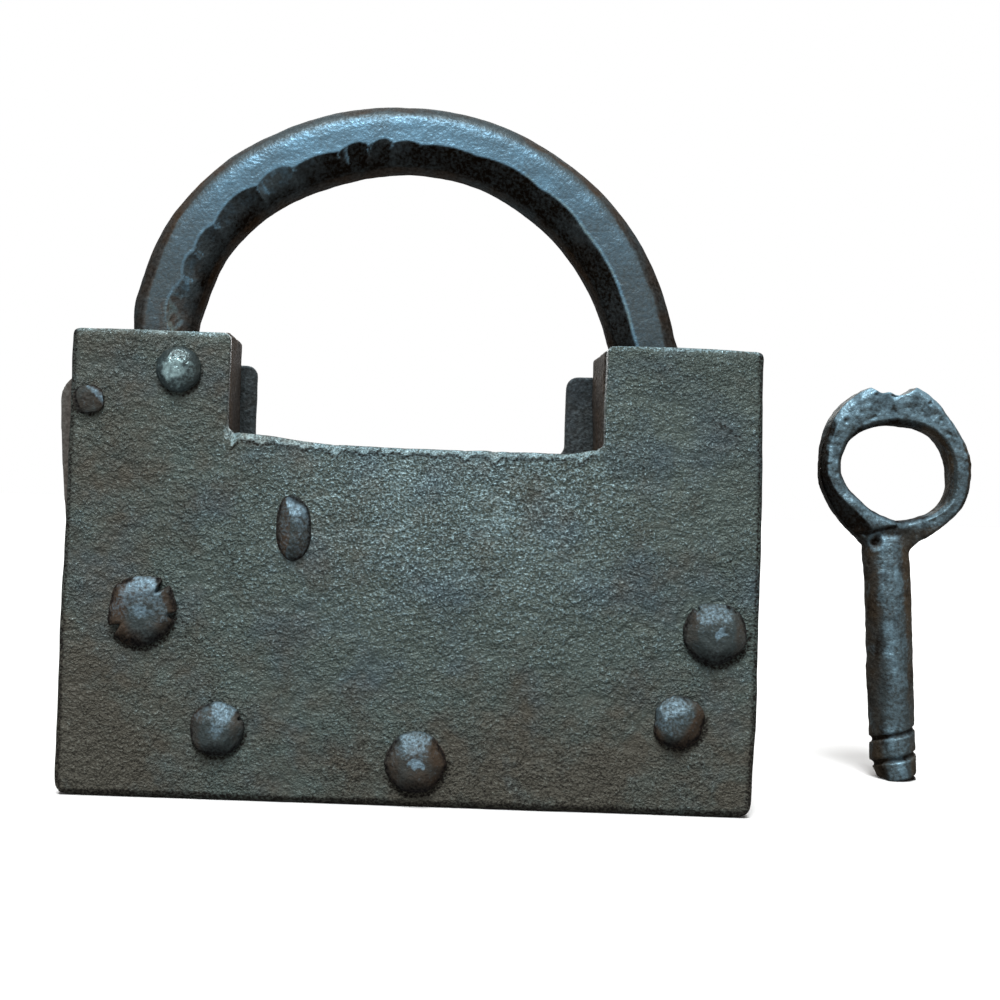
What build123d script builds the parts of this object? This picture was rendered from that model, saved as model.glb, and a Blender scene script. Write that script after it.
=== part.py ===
from build123d import *
import os
from math import cos, pi, radians, sin, sqrt

# A forged iron padlock that opens with a screw key, in millimetres.
# X runs to the right, Y from the front plate to the back plate, Z up.
# The case stands on its bottom edge at Z = 0, and its key stands beside it.
# The shackle is shut and the bolt is drawn back, so that the shackle can swing.

# Case
case_width = 138.4
case_height = 92.4
case_inner_depth = 20.0
plate_thickness = 2.6
plate_corner_radius = 1.4
left_shoulder_width = 32.0
right_shoulder_width = 31.5
notch_depth = 21.1
notch_corner_radius = 2.4
back_overhang_left = 3.0
back_overhang_right = 5.6
back_shoulder_drop = 4.0
rim_thickness = 1.4
rim_inset = 0.3
left_wall_inset = 2.8
left_wall_to_knuckle = 1.0
top_lip_gap = 0.8

# Shackle and its hinge
hinge_from_left_edge = 21.8
hinge_below_top = 7.7
hinge_pin_radius = 2.6
hinge_head_radius = 4.2
hinge_head_height = 2.6
shackle_bar = 12.9
shackle_depth = 13.0
shackle_outer_bevel = 1.6
shackle_inner_bevel = 4.2
left_leg_from_hinge = 4.9
right_leg_from_edge = 21.7
arch_spread = 0.2
left_bend_radius = 30.0
eye_radius = 7.0
toe_swing_angle = 25.0
collar_radius = 6.2
collar_side_play = 0.15

# Keyhole cover and its pin
cover_pin_from_left_edge = 4.0
cover_pin_below_top = 13.9
cover_pin_radius = 1.9
cover_head_radius = 2.8
cover_head_height = 1.3
cover_knuckle_radius = 5.8
cover_thickness = 2.6
cover_length = 36.5
cover_wall_gap = 0.4
cover_side_play = 0.4
cover_lip = 1.2

# Key
key_radius = 5.35
key_shank_length = 56.3
key_lean = 3.8
key_from_case = 45.4
key_behind_middle = 39.4
key_bow_depth = 7.2
key_bow_half_width = 17.3
key_bow_half_height = 19.7
key_bow_over_shank = 16.1
key_bow_offset = 2.5
key_hole_half_width = 12.4
key_hole_half_height = 10.9
key_hole_drop = 0.8
key_crown_dip = 3.1
key_crown_dip_radius = 7.5
key_bow_rounding = 1.2
groove_pitch = 5.6
groove_radius = 0.75
groove_turns = 2.5
groove_run_in = 2.0

# Bolt, its guides and its spring
bolt_below_notch = 16.9
bolt_travel = 7.5
keyhole_clearance = 0.55
socket_clearance = 0.25
socket_wall = 1.4
socket_depth = 22.0
bolt_nose_height = 8.0
bolt_nose_depth = 10.0
nose_to_leg_gap = 0.7
leg_notch_play = 0.6
spring_collar_gap = 0.7
spring_collar_thickness = 2.5
spring_length = 18.7
spring_wire_radius = 0.85
spring_socket_gap = 0.55
spring_end_gap = 0.1
spring_turns = 5.5
stud_radius = 0.7
stud_from_mouth = 5.0
stud_reach = 0.8
bridge_from_left_edge = 45.5
bridge_thickness = 6.0
bridge_half_height = 10.0
bridge_tenon_thickness = 4.0
bridge_tenon_height = 9.5
bridge_head_half_width = 3.5
bridge_head_half_height = 6.5
bridge_head_height = 2.4
bridge_head_taper = 28.0
mouth_past_bridge = 2.0
guide_thickness = 6.0
guide_from_nose_tip = 6.4
guide_half_height = 9.0
stop_post_radius = 3.0
stop_post_gap = 0.3
stop_front_gap = 2.0

# Rivets
pillar_radius = 4.0
rivet_shank_radius = 3.0
back_head_radius = 4.6
back_head_height = 1.2
rivet_left_from_edge = 15.9
rivet_left_height = 36.7
rivet_left_head_radius = 6.6
rivet_left_head_height = 3.0
rivet_lower_left_from_edge = 32.1
rivet_lower_left_height = 13.9
rivet_lower_left_head_radius = 5.0
rivet_lower_left_head_height = 2.9
rivet_bottom_from_edge = 71.5
rivet_bottom_height = 8.5
rivet_bottom_head_radius = 5.8
rivet_bottom_head_height = 3.2
rivet_lower_right_from_edge = 14.6
rivet_lower_right_height = 18.3
rivet_lower_right_head_radius = 4.8
rivet_lower_right_head_height = 2.7
rivet_right_from_edge = 7.8
rivet_right_height = 36.1
rivet_right_head_radius = 5.8
rivet_right_head_height = 3.4

# Clearances between pieces that fit into each other
seat_clearance = 0.05
running_clearance = 0.08
sliding_clearance = 0.2

# Places that follow from the sizes above
left_edge = -case_width / 2
right_edge = case_width / 2
inner_half_depth = case_inner_depth / 2
outer_half_depth = inner_half_depth + plate_thickness
notch_left = left_edge + left_shoulder_width
notch_right = right_edge - right_shoulder_width
notch_floor = case_height - notch_depth
rim_top = case_height - rim_inset
hinge_x = left_edge + hinge_from_left_edge
hinge_height = case_height - hinge_below_top
cover_pin_x = left_edge + cover_pin_from_left_edge
cover_pin_height = case_height - cover_pin_below_top
left_wall_x = left_edge + left_wall_inset
bridge_x = left_edge + bridge_from_left_edge
left_leg_x = hinge_x - left_leg_from_hinge
right_leg_x = right_edge - right_leg_from_edge
toe_radius = right_leg_x - hinge_x
toe_inner_radius = toe_radius - shackle_bar / 2
toe_outer_radius = toe_radius + shackle_bar / 2
half_bar = shackle_bar / 2
half_nose = bolt_nose_height / 2
bolt_height = notch_floor - bolt_below_notch
spring_collar_radius = inner_half_depth - spring_collar_gap


def swing_x(radius, height):
    """X of the point at a height on a circle about the hinge pin."""
    return hinge_x + sqrt(radius**2 - (height - hinge_height) ** 2)


nose_tip_x = swing_x(toe_inner_radius, bolt_height - half_nose) - nose_to_leg_gap
leg_notch_floor_x = nose_tip_x + bolt_travel + leg_notch_play
guide_x = nose_tip_x - guide_from_nose_tip - guide_thickness / 2
socket_bore_radius = key_radius + socket_clearance
socket_radius = socket_bore_radius + socket_wall
bridge_face_x = bridge_x + bridge_thickness / 2
mouth_x = bridge_x - bridge_thickness / 2 - mouth_past_bridge
spring_collar_x = bridge_face_x + spring_length
keyhole_radius = key_radius + keyhole_clearance
toe_end_x = hinge_x + toe_radius * cos(radians(toe_swing_angle))
toe_end_height = hinge_height - toe_radius * sin(radians(toe_swing_angle))
stop_reach = stop_post_radius + stop_post_gap
stop_x = toe_end_x - stop_reach * sin(radians(toe_swing_angle))
stop_height = toe_end_height - stop_reach * cos(radians(toe_swing_angle))

case_rivets = {
    "rivet_left": (
        left_edge + rivet_left_from_edge,
        rivet_left_height,
        rivet_left_head_radius,
        rivet_left_head_height,
    ),
    "rivet_lower_left": (
        left_edge + rivet_lower_left_from_edge,
        rivet_lower_left_height,
        rivet_lower_left_head_radius,
        rivet_lower_left_head_height,
    ),
    "rivet_bottom": (
        left_edge + rivet_bottom_from_edge,
        rivet_bottom_height,
        rivet_bottom_head_radius,
        rivet_bottom_head_height,
    ),
    "rivet_lower_right": (
        right_edge - rivet_lower_right_from_edge,
        rivet_lower_right_height,
        rivet_lower_right_head_radius,
        rivet_lower_right_head_height,
    ),
    "rivet_right": (
        right_edge - rivet_right_from_edge,
        rivet_right_height,
        rivet_right_head_radius,
        rivet_right_head_height,
    ),
}
rivet_places = [(rivet[0], rivet[1]) for rivet in case_rivets.values()]

os.makedirs("parts", exist_ok=True)


def depth_plane(depth):
    """A drawing plane across the case at a depth, looked at from the front."""
    return Plane.XZ.offset(-depth)


def draw_plate(plate_notch_left, plate_notch_right, shoulder_height):
    """The outline of a case plate with its notch."""
    with Locations((0, shoulder_height / 2)):
        Rectangle(case_width, shoulder_height)
    with Locations(((plate_notch_left + plate_notch_right) / 2, (notch_floor + shoulder_height) / 2)):
        Rectangle(plate_notch_right - plate_notch_left, shoulder_height - notch_floor, mode=Mode.SUBTRACT)


def draw_plate_holes():
    """Holes that the hinge pins, the pillars and the bridge's tenon pass through."""
    with Locations(*rivet_places):
        Circle(rivet_shank_radius + seat_clearance, mode=Mode.SUBTRACT)
    with Locations((hinge_x, hinge_height)):
        Circle(hinge_pin_radius + seat_clearance, mode=Mode.SUBTRACT)
    with Locations((cover_pin_x, cover_pin_height)):
        Circle(cover_pin_radius + seat_clearance, mode=Mode.SUBTRACT)
    with Locations((bridge_x, bolt_height)):
        Rectangle(
            bridge_tenon_thickness + 2 * seat_clearance,
            bridge_tenon_height + 2 * seat_clearance,
            mode=Mode.SUBTRACT,
        )


def export_piece(piece, name):
    """Labels a finished piece and writes its file."""
    piece.label = name
    export_step(piece, f"parts/{name}.step")


# The front plate is a flat forged sheet with a square notch at the top.
with BuildPart() as front_plate:
    with BuildSketch(depth_plane(-inner_half_depth)) as front_outline:
        draw_plate(notch_left, notch_right, case_height)
        fillet(front_outline.vertices(), plate_corner_radius)
        draw_plate_holes()
    extrude(amount=plate_thickness)
export_piece(front_plate.part, "front_plate")

# The back plate has lower shoulders and reaches further into the notch.
# It also takes the tenons of the nose guide and of the stop post.
with BuildPart() as back_plate:
    with BuildSketch(depth_plane(inner_half_depth)) as back_outline:
        draw_plate(
            notch_left + back_overhang_left,
            notch_right - back_overhang_right,
            case_height - back_shoulder_drop,
        )
        fillet(back_outline.vertices(), notch_corner_radius)
        draw_plate_holes()
        with Locations((guide_x, bolt_height)):
            Circle(rivet_shank_radius + seat_clearance, mode=Mode.SUBTRACT)
        with Locations((stop_x, stop_height)):
            Circle(stop_post_radius + seat_clearance, mode=Mode.SUBTRACT)
    extrude(amount=-plate_thickness)
export_piece(back_plate.part, "back_plate")

# The rim is made of strips as deep as the case, held between the plates.
with BuildPart() as bottom_wall:
    with BuildSketch(depth_plane(-inner_half_depth)):
        with Locations((0, rim_thickness / 2)):
            Rectangle(case_width - 2 * rim_inset, rim_thickness)
    extrude(amount=-case_inner_depth)
export_piece(bottom_wall.part, "bottom_wall")

# The left wall lies deeper, so that the keyhole cover fits in front of it.
left_wall_top = cover_pin_height - cover_knuckle_radius - left_wall_to_knuckle
with BuildPart() as left_wall:
    with BuildSketch(depth_plane(-inner_half_depth)):
        with Locations((left_wall_x + rim_thickness / 2, (rim_thickness + left_wall_top) / 2)):
            Rectangle(rim_thickness, left_wall_top - rim_thickness)
    extrude(amount=-case_inner_depth)
    with Locations(Location((left_wall_x, 0, bolt_height), (0, 90, 0))):
        Cylinder(keyhole_radius, 4 * rim_thickness, mode=Mode.SUBTRACT)
export_piece(left_wall.part, "left_wall")

# The right wall is bent over the right shoulder and ends beside the shackle's leg.
right_wall_x = right_edge - rim_inset
lip_end_x = swing_x(toe_outer_radius, hinge_height) + top_lip_gap
with BuildPart() as right_wall:
    with BuildSketch(depth_plane(-inner_half_depth)):
        with BuildLine():
            Polyline(
                (right_wall_x, rim_thickness),
                (right_wall_x, rim_top),
                (lip_end_x, rim_top),
                (lip_end_x, rim_top - rim_thickness),
                (right_wall_x - rim_thickness, rim_top - rim_thickness),
                (right_wall_x - rim_thickness, rim_thickness),
                close=True,
            )
        make_face()
    extrude(amount=-case_inner_depth)
export_piece(right_wall.part, "right_wall")

# Three strips line the notch: its floor and the two walls that stand on it.
notch_strip_top = notch_floor - rim_inset
left_strip_x = notch_left - rim_inset
right_strip_x = notch_right + rim_inset
with BuildPart() as notch_floor_strip:
    with BuildSketch(depth_plane(-inner_half_depth)):
        with Locations(((left_strip_x + right_strip_x) / 2, notch_strip_top - rim_thickness / 2)):
            Rectangle(right_strip_x - left_strip_x + 2 * rim_thickness, rim_thickness)
    extrude(amount=-case_inner_depth)
export_piece(notch_floor_strip.part, "notch_floor")

notch_wall_places = {
    "notch_left_wall": left_strip_x - rim_thickness / 2,
    "notch_right_wall": right_strip_x + rim_thickness / 2,
}
for wall_name, wall_x in notch_wall_places.items():
    with BuildPart() as notch_wall:
        with BuildSketch(depth_plane(-inner_half_depth)):
            with Locations((wall_x, (notch_strip_top + rim_top) / 2)):
                Rectangle(rim_thickness, rim_top - notch_strip_top)
        extrude(amount=-case_inner_depth)
    export_piece(notch_wall.part, wall_name)


def draw_pin(shank_radius, head_radius, head_height, tail_radius):
    """Half the section of a pin through both plates, with its depth along X and its radius along Y."""
    with BuildLine() as section:
        Line((-outer_half_depth - head_height, 0), (outer_half_depth + back_head_height, 0))
        TangentArc(
            (outer_half_depth + back_head_height, 0),
            (outer_half_depth, tail_radius),
            tangent=(0, 1),
        )
        Polyline(
            (outer_half_depth, tail_radius),
            (outer_half_depth, shank_radius),
            (-outer_half_depth, shank_radius),
            (-outer_half_depth, head_radius),
        )
        TangentArc(
            (-outer_half_depth - head_height, 0),
            (-outer_half_depth, head_radius),
            tangent=(0, 1),
        )
    make_face(section.edges())


def pin_plane(pin_x, pin_height):
    """The plane that a pin's section is drawn on, with the pin's axis along its X."""
    return Plane(origin=(pin_x, 0, pin_height), x_dir=(0, 1, 0), z_dir=(1, 0, 0))


def pin_axis(pin_x, pin_height):
    """A pin's axis, from front to back."""
    return Axis((pin_x, 0, pin_height), (0, 1, 0))


# Five riveted pillars keep the plates apart and hold the case together.
for rivet_name, (rivet_x, rivet_z, head_radius, head_height) in case_rivets.items():
    with BuildPart() as case_rivet:
        with BuildSketch(pin_plane(rivet_x, rivet_z)):
            draw_pin(rivet_shank_radius, head_radius, head_height, back_head_radius)
        revolve(axis=pin_axis(rivet_x, rivet_z))
        with BuildSketch(depth_plane(-inner_half_depth)):
            with Locations((rivet_x, rivet_z)):
                Circle(pillar_radius)
        extrude(amount=-case_inner_depth)
    export_piece(case_rivet.part, rivet_name)

# The shackle turns on the hinge pin, and the keyhole cover on the cover pin.
with BuildPart() as hinge_pin:
    with BuildSketch(pin_plane(hinge_x, hinge_height)):
        draw_pin(hinge_pin_radius, hinge_head_radius, hinge_head_height, hinge_head_radius)
    revolve(axis=pin_axis(hinge_x, hinge_height))
export_piece(hinge_pin.part, "hinge_pin")

with BuildPart() as cover_pin:
    with BuildSketch(pin_plane(cover_pin_x, cover_pin_height)):
        draw_pin(cover_pin_radius, cover_head_radius, cover_head_height, cover_head_radius)
    revolve(axis=pin_axis(cover_pin_x, cover_pin_height))
export_piece(cover_pin.part, "cover_pin")

# Two collars on the hinge pin keep the shackle in the middle of the case.
collar_length = inner_half_depth - shackle_depth / 2 - collar_side_play
with BuildPart() as hinge_collars:
    for collar_face in (-inner_half_depth, inner_half_depth - collar_length):
        with BuildSketch(depth_plane(collar_face)):
            with Locations((hinge_x, hinge_height)):
                Circle(collar_radius)
                Circle(hinge_pin_radius + seat_clearance, mode=Mode.SUBTRACT)
        extrude(amount=-collar_length)
export_piece(hinge_collars.part, "hinge_collars")

# The shackle is a square bar with wide inner bevels, bent to an arch that leans to the left.
# Its right leg runs on in an arc about the hinge pin, so that it slides out of the case.
arch_radius = (right_leg_x - left_leg_x) / 2 + arch_spread
arch_x = right_leg_x - arch_radius
bend_x = left_leg_x + left_bend_radius
bend_height = hinge_height + sqrt((arch_radius - left_bend_radius) ** 2 - (bend_x - arch_x) ** 2)
bend_share = arch_radius / (arch_radius - left_bend_radius)
bend_end_x = arch_x + (bend_x - arch_x) * bend_share
bend_end_height = hinge_height + (bend_height - hinge_height) * bend_share
bend_end = (bend_end_x, bend_end_height)
bar_plane = Plane(origin=(left_leg_x, 0, hinge_height), x_dir=(1, 0, 0), z_dir=(0, 0, 1))
with BuildPart() as shackle:
    with BuildLine(Plane.XZ) as shackle_path:
        Line((left_leg_x, hinge_height), (left_leg_x, bend_height))
        TangentArc((left_leg_x, bend_height), bend_end, tangent=(0, 1))
        ThreePointArc(bend_end, (arch_x, hinge_height + arch_radius), (right_leg_x, hinge_height))
        TangentArc((right_leg_x, hinge_height), (toe_end_x, toe_end_height), tangent=(0, -1))
    with BuildSketch(bar_plane) as bar_section:
        Rectangle(shackle_bar, shackle_depth)
        chamfer(bar_section.vertices().group_by(Axis.X)[0], shackle_outer_bevel)
        chamfer(bar_section.vertices().group_by(Axis.X)[-1], shackle_inner_bevel)
    sweep(path=shackle_path.wire())
    with BuildSketch(depth_plane(-shackle_depth / 2)):
        with Locations((left_leg_x, hinge_height)):
            Circle(half_bar)
        with Locations((hinge_x, hinge_height)):
            Circle(eye_radius)
            Circle(hinge_pin_radius + running_clearance, mode=Mode.SUBTRACT)
    extrude(amount=-shackle_depth)
    with BuildSketch(depth_plane(-shackle_depth)):
        with Locations((hinge_x, hinge_height)):
            Circle(hinge_pin_radius + running_clearance)
        with Locations((leg_notch_floor_x - toe_radius / 2, bolt_height)):
            Rectangle(toe_radius, bolt_nose_height + 2 * leg_notch_play)
    extrude(amount=-2 * shackle_depth, mode=Mode.SUBTRACT)
export_piece(shackle.part, "shackle")

# The keyhole cover hangs from its knuckle in front of the left wall.
cover_outer_x = cover_pin_x - cover_knuckle_radius
cover_inner_x = left_wall_x - cover_wall_gap
cover_foot = cover_pin_height - cover_length
with BuildPart() as keyhole_cover:
    with BuildSketch(depth_plane(cover_side_play - inner_half_depth)):
        with BuildLine():
            Polyline(
                (cover_outer_x, cover_pin_height),
                (cover_inner_x - cover_thickness, cover_foot + cover_thickness),
                (cover_inner_x - cover_thickness - cover_lip, cover_foot),
                (cover_inner_x, cover_foot),
                (cover_inner_x, cover_pin_height),
                close=True,
            )
        make_face()
        with Locations((cover_pin_x, cover_pin_height)):
            Circle(cover_knuckle_radius)
            Circle(cover_pin_radius + running_clearance, mode=Mode.SUBTRACT)
    extrude(amount=2 * cover_side_play - case_inner_depth)
export_piece(keyhole_cover.part, "keyhole_cover")

# The bridge crosses the case and guides the bolt's socket.
# Its tenons pass through both plates and are hammered over.
with BuildPart() as bridge:
    with BuildSketch(depth_plane(-inner_half_depth)):
        with Locations((bridge_x, bolt_height)):
            Rectangle(bridge_thickness, 2 * bridge_half_height)
    extrude(amount=-case_inner_depth)
    with BuildSketch(depth_plane(-outer_half_depth)):
        with Locations((bridge_x, bolt_height)):
            Rectangle(bridge_tenon_thickness, bridge_tenon_height)
    extrude(amount=-2 * outer_half_depth)
    with Locations(Location((bridge_x, 0, bolt_height), (0, 90, 0))):
        Cylinder(socket_radius + running_clearance, 2 * bridge_thickness, mode=Mode.SUBTRACT)
    with BuildSketch(depth_plane(-outer_half_depth)):
        with Locations((bridge_x, bolt_height)):
            SlotOverall(2 * bridge_head_half_height, 2 * bridge_head_half_width, rotation=90)
    extrude(amount=bridge_head_height, taper=bridge_head_taper)
    with BuildSketch(depth_plane(outer_half_depth)):
        with Locations((bridge_x, bolt_height)):
            SlotOverall(2 * bridge_head_half_height, 2 * bridge_head_half_width, rotation=90)
    extrude(amount=-back_head_height, taper=bridge_head_taper)
export_piece(bridge.part, "bridge")

# The nose guide stands on the back plate and holds the bolt's nose.
with BuildPart() as nose_guide:
    with BuildSketch(depth_plane(sliding_clearance - inner_half_depth)):
        with Locations((guide_x, bolt_height)):
            Rectangle(guide_thickness, 2 * guide_half_height)
    extrude(amount=sliding_clearance - case_inner_depth)
    with BuildSketch(Plane.YZ.offset(guide_x - guide_thickness)):
        with Locations((0, bolt_height)):
            Rectangle(bolt_nose_depth + 2 * sliding_clearance, bolt_nose_height + 2 * sliding_clearance)
    extrude(amount=2 * guide_thickness, mode=Mode.SUBTRACT)
    with BuildSketch(depth_plane(inner_half_depth)):
        with Locations((guide_x, bolt_height)):
            Circle(rivet_shank_radius)
    extrude(amount=-plate_thickness)
    with BuildSketch(depth_plane(outer_half_depth)):
        with Locations((guide_x, bolt_height)):
            Circle(back_head_radius)
    extrude(amount=-back_head_height, taper=bridge_head_taper)
export_piece(nose_guide.part, "nose_guide")

# The stop post stands on the back plate, and the shackle's toe comes to rest on it.
with BuildPart() as stop_post:
    with BuildSketch(depth_plane(stop_front_gap - inner_half_depth)):
        with Locations((stop_x, stop_height)):
            Circle(stop_post_radius)
    extrude(amount=stop_front_gap - case_inner_depth - plate_thickness)
    with BuildSketch(depth_plane(outer_half_depth)):
        with Locations((stop_x, stop_height)):
            Circle(back_head_radius)
    extrude(amount=-back_head_height, taper=bridge_head_taper)
export_piece(stop_post.part, "stop_post")

# The bolt is one forging: a socket for the key, a collar for the spring and a square nose.
with BuildPart() as bolt:
    with BuildSketch(Plane.YZ.offset(mouth_x)):
        with Locations((0, bolt_height)):
            Circle(socket_radius)
    extrude(amount=spring_collar_x - mouth_x)
    with BuildSketch(Plane.YZ.offset(spring_collar_x)):
        with Locations((0, bolt_height)):
            Circle(spring_collar_radius)
    extrude(amount=spring_collar_thickness)
    with BuildSketch(Plane.YZ.offset(spring_collar_x)):
        with Locations((0, bolt_height)):
            Rectangle(bolt_nose_depth, bolt_nose_height)
    extrude(amount=nose_tip_x - spring_collar_x)
    with BuildSketch(Plane.YZ.offset(mouth_x)):
        with Locations((0, bolt_height)):
            Circle(socket_bore_radius)
    extrude(amount=socket_depth, mode=Mode.SUBTRACT)
    with BuildSketch(Plane.XY.offset(bolt_height)):
        with Locations((mouth_x + stud_from_mouth, 0)):
            Circle(stud_radius + seat_clearance)
    extrude(amount=2 * socket_radius, mode=Mode.SUBTRACT)
export_piece(bolt.part, "bolt")

# The stud is set in the socket's wall, and its tip runs in the key's groove.
stud_foot = bolt_height + socket_bore_radius - stud_reach
with BuildPart() as socket_stud:
    with BuildSketch(Plane.XY.offset(stud_foot)):
        with Locations((mouth_x + stud_from_mouth, 0)):
            Circle(stud_radius)
    extrude(amount=stud_reach + socket_wall - seat_clearance)
export_piece(socket_stud.part, "socket_stud")


def wind_coil(base, coil_radius, pitch, turns):
    """A coil about a plane's Z axis, made of pairs of tangent arcs over each half turn."""
    half_turns = round(2 * turns)

    def place(step):
        angle = pi * step
        return base.from_local_coords(
            Vector(coil_radius * cos(angle), coil_radius * sin(angle), pitch * step / 2)
        )

    def heading(step):
        angle = pi * step
        across = Vector(-coil_radius * sin(angle), coil_radius * cos(angle), pitch / (2 * pi))
        return (base.from_local_coords(across) - base.origin).normalized()

    with BuildLine() as coil:
        for step in range(half_turns):
            start = place(step)
            end = place(step + 1)
            leaving = heading(step)
            arriving = heading(step + 1)
            span = end - start
            turning = 2 * (1 - leaving.dot(arriving))
            along = span.dot(leaving + arriving)
            reach = (sqrt(along**2 + turning * span.dot(span)) - along) / turning
            meeting = (start + end + (leaving - arriving) * reach) * 0.5
            crossing = end - arriving * reach - (start + leaving * reach)
            TangentArc(start, meeting, tangent=leaving)
            TangentArc(meeting, end, tangent=crossing.normalized())
    return coil.wire()


# The spring is wound round the socket, between the bridge and the bolt's collar.
spring_mean_radius = socket_radius + spring_socket_gap + spring_wire_radius
spring_run = spring_length - 2 * (spring_wire_radius + spring_end_gap)
spring_pitch = spring_run / spring_turns
spring_base = Plane(
    origin=(bridge_face_x + spring_wire_radius + spring_end_gap, 0, bolt_height),
    x_dir=(0, 1, 0),
    z_dir=(1, 0, 0),
)
spring_wire = wind_coil(spring_base, spring_mean_radius, spring_pitch, spring_turns)
with BuildPart() as bolt_spring:
    with BuildSketch(Plane(origin=spring_wire @ 0, z_dir=spring_wire % 0)):
        Circle(spring_wire_radius)
    sweep(path=spring_wire)
export_piece(bolt_spring.part, "bolt_spring")
print("gap between the spring's turns", round(spring_pitch - 2 * spring_wire_radius, 2), "mm")

# The key is one forging: a round shank with a screw groove at its tip, and a ring bow.
# It stands on its tip, which is cut a little out of square, so that it leans to the left.
key_x = right_edge + key_from_case
key_base = Plane(
    origin=(key_x, key_behind_middle, 0),
    x_dir=(cos(radians(key_lean)), 0, sin(radians(key_lean))),
    z_dir=(-sin(radians(key_lean)), 0, cos(radians(key_lean))),
)
key_face = Plane(origin=key_base.origin, x_dir=key_base.x_dir, z_dir=-key_base.y_dir)
key_bow_rise = key_shank_length + key_bow_over_shank
key_hole_rise = key_bow_rise - key_hole_drop
dip_rise = key_bow_rise + key_bow_half_height + key_crown_dip_radius - key_crown_dip
groove_base = Plane(
    origin=key_base.origin - key_base.z_dir * groove_run_in,
    x_dir=-key_base.x_dir,
    z_dir=key_base.z_dir,
)
groove_path = wind_coil(groove_base, key_radius, groove_pitch, groove_turns)
with BuildPart() as key:
    with BuildSketch(key_face.offset(-key_bow_depth / 2)):
        with Locations((key_bow_offset, key_bow_rise)):
            Ellipse(key_bow_half_width, key_bow_half_height)
        with Locations((key_bow_offset, key_hole_rise)):
            Ellipse(key_hole_half_width, key_hole_half_height, mode=Mode.SUBTRACT)
    extrude(amount=key_bow_depth)
    chamfer(key.faces().group_by(Axis.Y)[0].edges(), key_bow_rounding)
    chamfer(key.faces().group_by(Axis.Y)[-1].edges(), key_bow_rounding)
    with BuildSketch(key_face.offset(-key_bow_depth)):
        with Locations((key_bow_offset, dip_rise)):
            Circle(key_crown_dip_radius)
    extrude(amount=2 * key_bow_depth, mode=Mode.SUBTRACT)
    with BuildSketch(key_base.offset(-key_radius)):
        Circle(key_radius)
    extrude(amount=key_radius + key_shank_length)
    with BuildSketch(Plane(origin=groove_path @ 0, z_dir=groove_path % 0)):
        Circle(groove_radius)
    sweep(path=groove_path, mode=Mode.SUBTRACT)
    split(bisect_by=Plane.XY, keep=Keep.TOP)
export_piece(key.part, "key")
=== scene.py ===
import math

import bmesh
import bpy
import numpy as np
from mathutils import Matrix


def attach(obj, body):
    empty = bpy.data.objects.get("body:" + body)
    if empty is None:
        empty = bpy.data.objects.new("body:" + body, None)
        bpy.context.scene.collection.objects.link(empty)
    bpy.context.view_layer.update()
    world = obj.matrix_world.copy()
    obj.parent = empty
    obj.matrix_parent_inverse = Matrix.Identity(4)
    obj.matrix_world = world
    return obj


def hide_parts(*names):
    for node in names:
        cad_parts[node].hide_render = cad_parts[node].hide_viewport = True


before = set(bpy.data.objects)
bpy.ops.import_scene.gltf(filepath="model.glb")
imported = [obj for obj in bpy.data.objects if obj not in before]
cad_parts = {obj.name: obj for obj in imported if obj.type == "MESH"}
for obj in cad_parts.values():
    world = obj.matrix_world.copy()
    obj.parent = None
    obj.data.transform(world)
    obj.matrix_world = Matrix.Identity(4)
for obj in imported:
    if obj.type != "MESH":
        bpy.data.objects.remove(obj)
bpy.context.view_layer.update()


# FRONT PLATE
# A sheet of wrought iron, hammered flat and cut with a square notch at the top.
# It is riveted to the pillars, and its notch edge is nicked, worn bright and given a painted highlight.


def field(points, size, seed):
    """A smooth random height at each point in millimetres, about -1 to 1, with lumps of one size."""
    spread = points / size
    cell = np.floor(spread).astype(np.int64)
    part = spread - cell
    fade = part**3 * (part * (part * 6 - 15) + 10)
    total = np.zeros(len(points))
    for corner in np.ndindex(2, 2, 2):
        step = np.array(corner)
        code = (cell + step) @ np.array([73856093, 19349663, 83492791]) + seed * 7919
        code = (code ^ (code >> 15)) * 2246822519 & 0x7FFFFFFF
        code = (code ^ (code >> 13)) * 3266489917 & 0x7FFFFFFF
        slope = np.stack([code & 1023, code >> 10 & 1023, code >> 20 & 1023], 1) / 511.5 - 1
        share = np.where(step, fade, 1 - fade).prod(1)
        total += share * ((part - step) * slope).sum(1)
    return total * 1.6


def ease(value, start, end):
    """Rises smoothly from 0 at start to 1 at end, which may be the lower of the two."""
    share = np.clip((value - start) / (end - start), 0, 1)
    return share * share * (3 - 2 * share)


def even_mesh(node, name, grid, rounds=2):
    """A copy of a CAD node in even quads with rounded edges, with its points and normals in millimetres."""
    piece = bpy.data.objects.new(name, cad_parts[node].data.copy())
    bpy.context.scene.collection.objects.link(piece)
    shell = bmesh.new()
    shell.from_mesh(piece.data)
    bmesh.ops.remove_doubles(shell, verts=shell.verts, dist=1e-6)
    shell.to_mesh(piece.data)
    shell.free()
    remesh = piece.modifiers.new("even", "REMESH")
    remesh.mode = "VOXEL"
    remesh.voxel_size = grid / 1000
    if rounds:
        soften = piece.modifiers.new("soften", "SMOOTH")
        soften.iterations = rounds
    seen = piece.evaluated_get(bpy.context.evaluated_depsgraph_get())
    mesh = bpy.data.meshes.new_from_object(seen)
    piece.modifiers.clear()
    piece.data = mesh
    points = np.empty(len(mesh.vertices) * 3)
    mesh.vertices.foreach_get("co", points)
    normals = np.empty(len(mesh.vertices) * 3)
    mesh.vertex_normals.foreach_get("vector", normals)
    return piece, points.reshape(-1, 3) * 1000, normals.reshape(-1, 3)


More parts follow.
